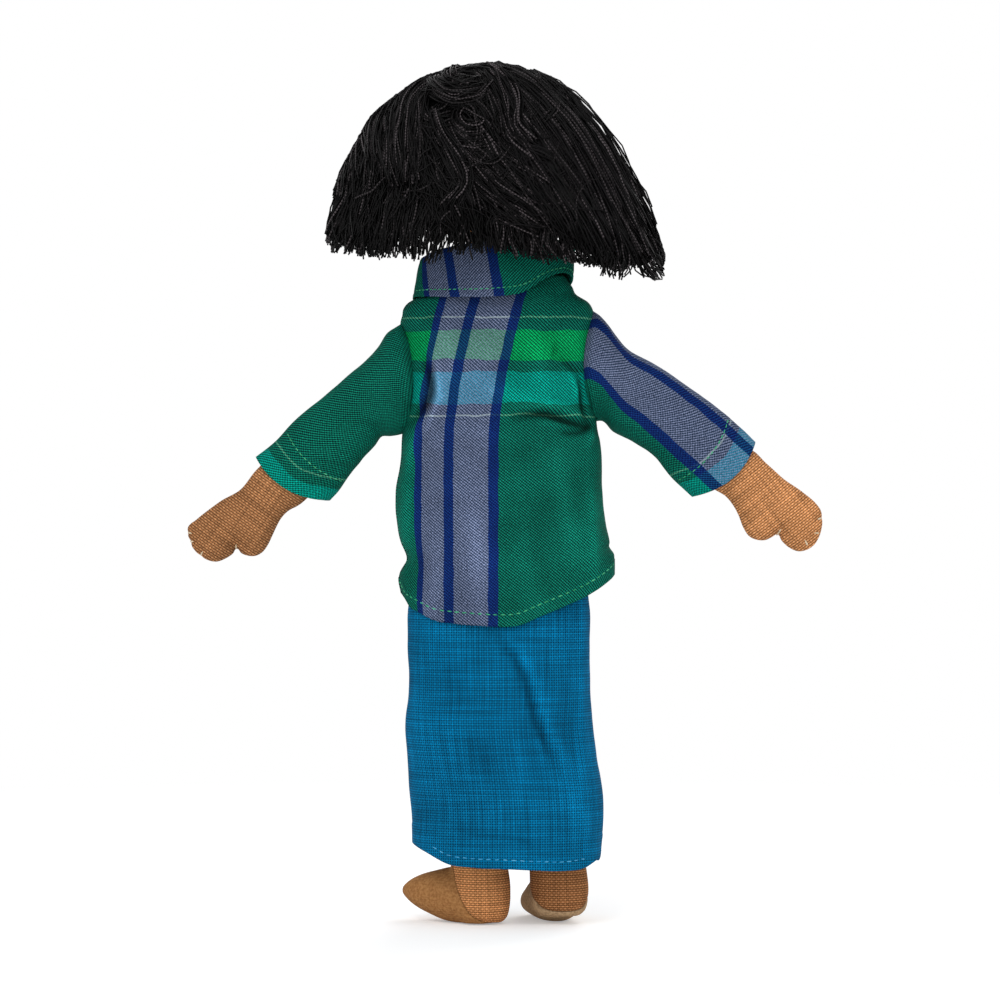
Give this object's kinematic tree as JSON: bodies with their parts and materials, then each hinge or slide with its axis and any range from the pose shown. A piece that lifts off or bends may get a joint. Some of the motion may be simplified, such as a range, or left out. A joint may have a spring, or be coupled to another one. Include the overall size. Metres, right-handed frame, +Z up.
{
  "type": "cloth doll",
  "caption": "Standing stuffed cloth doll with bobbed thread hair, an open-collared plaid shirt and a long tube skirt; arms, head, hips and legs move.",
  "frame": {"origin": "on the floor, below the middle of the doll with its arms spread", "axes": "+Z up, the face and toes towards -Y, the doll's left hand towards +X"},
  "size_m": [0.2693, 0.0885, 0.361],
  "materials": {
    "tan_cotton": "coarse plain-woven cotton, stuffed tight",
    "sole_cotton": "paler plain-woven cotton",
    "plaid_cotton": "handloomed cotton plaid, fine twill look",
    "blue_cotton": "open plain-woven cotton",
    "hair_thread": "fine mercerised cotton thread",
    "dark_floss": "satin-stitched floss",
    "red_floss": "stitched floss",
    "button": "moulded, slightly glossy"
  },
  "bodies": {
    "torso": {"torso": "tan_cotton", "shirt_back": "plaid_cotton", "shirt_front_left": "plaid_cotton", "shirt_front_right": "plaid_cotton", "collar": "plaid_cotton", "skirt_waistband": "blue_cotton", "button_1": "button", "button_2": "button", "button_3": "button", "button_4": "button"},
    "head": {"head": "tan_cotton", "hair_back": "hair_thread", "hair_fringe": "hair_thread", "eye_left": "dark_floss", "eye_right": "dark_floss", "eyebrow_left": "dark_floss", "eyebrow_right": "dark_floss", "mouth": "red_floss"},
    "arm_left": {"arm_left": "tan_cotton", "sleeve_left": "plaid_cotton"},
    "arm_right": {"arm_right": "tan_cotton", "sleeve_right": "plaid_cotton"},
    "skirt": {"skirt": "blue_cotton"},
    "leg_left": {"leg_left": "tan_cotton", "sole_left": "sole_cotton"},
    "leg_right": {"leg_right": "tan_cotton", "sole_right": "sole_cotton"}
  },
  "joints": [
    {"name": "neck_nod", "type": "hinge", "parent": "torso", "child": "head", "pos_m": [0.003, 0, 0.266], "axis": [1, 0, 0], "range_deg": [-12, 18]},
    {"name": "shoulder_left_swing", "type": "hinge", "parent": "torso", "child": "arm_left", "pos_m": [0.05485, 0, 0.228], "axis": [0, 0, 1], "range_deg": [-85, 30]},
    {"name": "shoulder_right_swing", "type": "hinge", "parent": "torso", "child": "arm_right", "pos_m": [-0.04885, 0, 0.234], "axis": [0, 0, 1], "range_deg": [-30, 85]},
    {"name": "hip_fold", "type": "hinge", "parent": "torso", "child": "skirt", "pos_m": [0.003, 0, 0.125], "axis": [1, 0, 0], "range_deg": [-85, 0], "deforming": ["shirt_front_left", "shirt_front_right"]},
    {"name": "leg_left_swing", "type": "hinge", "parent": "skirt", "child": "leg_left", "pos_m": [0.02, 0, 0.125], "axis": [1, 0, 0], "range_deg": [-5, 5]},
    {"name": "leg_right_swing", "type": "hinge", "parent": "skirt", "child": "leg_right", "pos_m": [-0.014, 0, 0.125], "axis": [1, 0, 0], "range_deg": [-5, 5]}
  ]
}
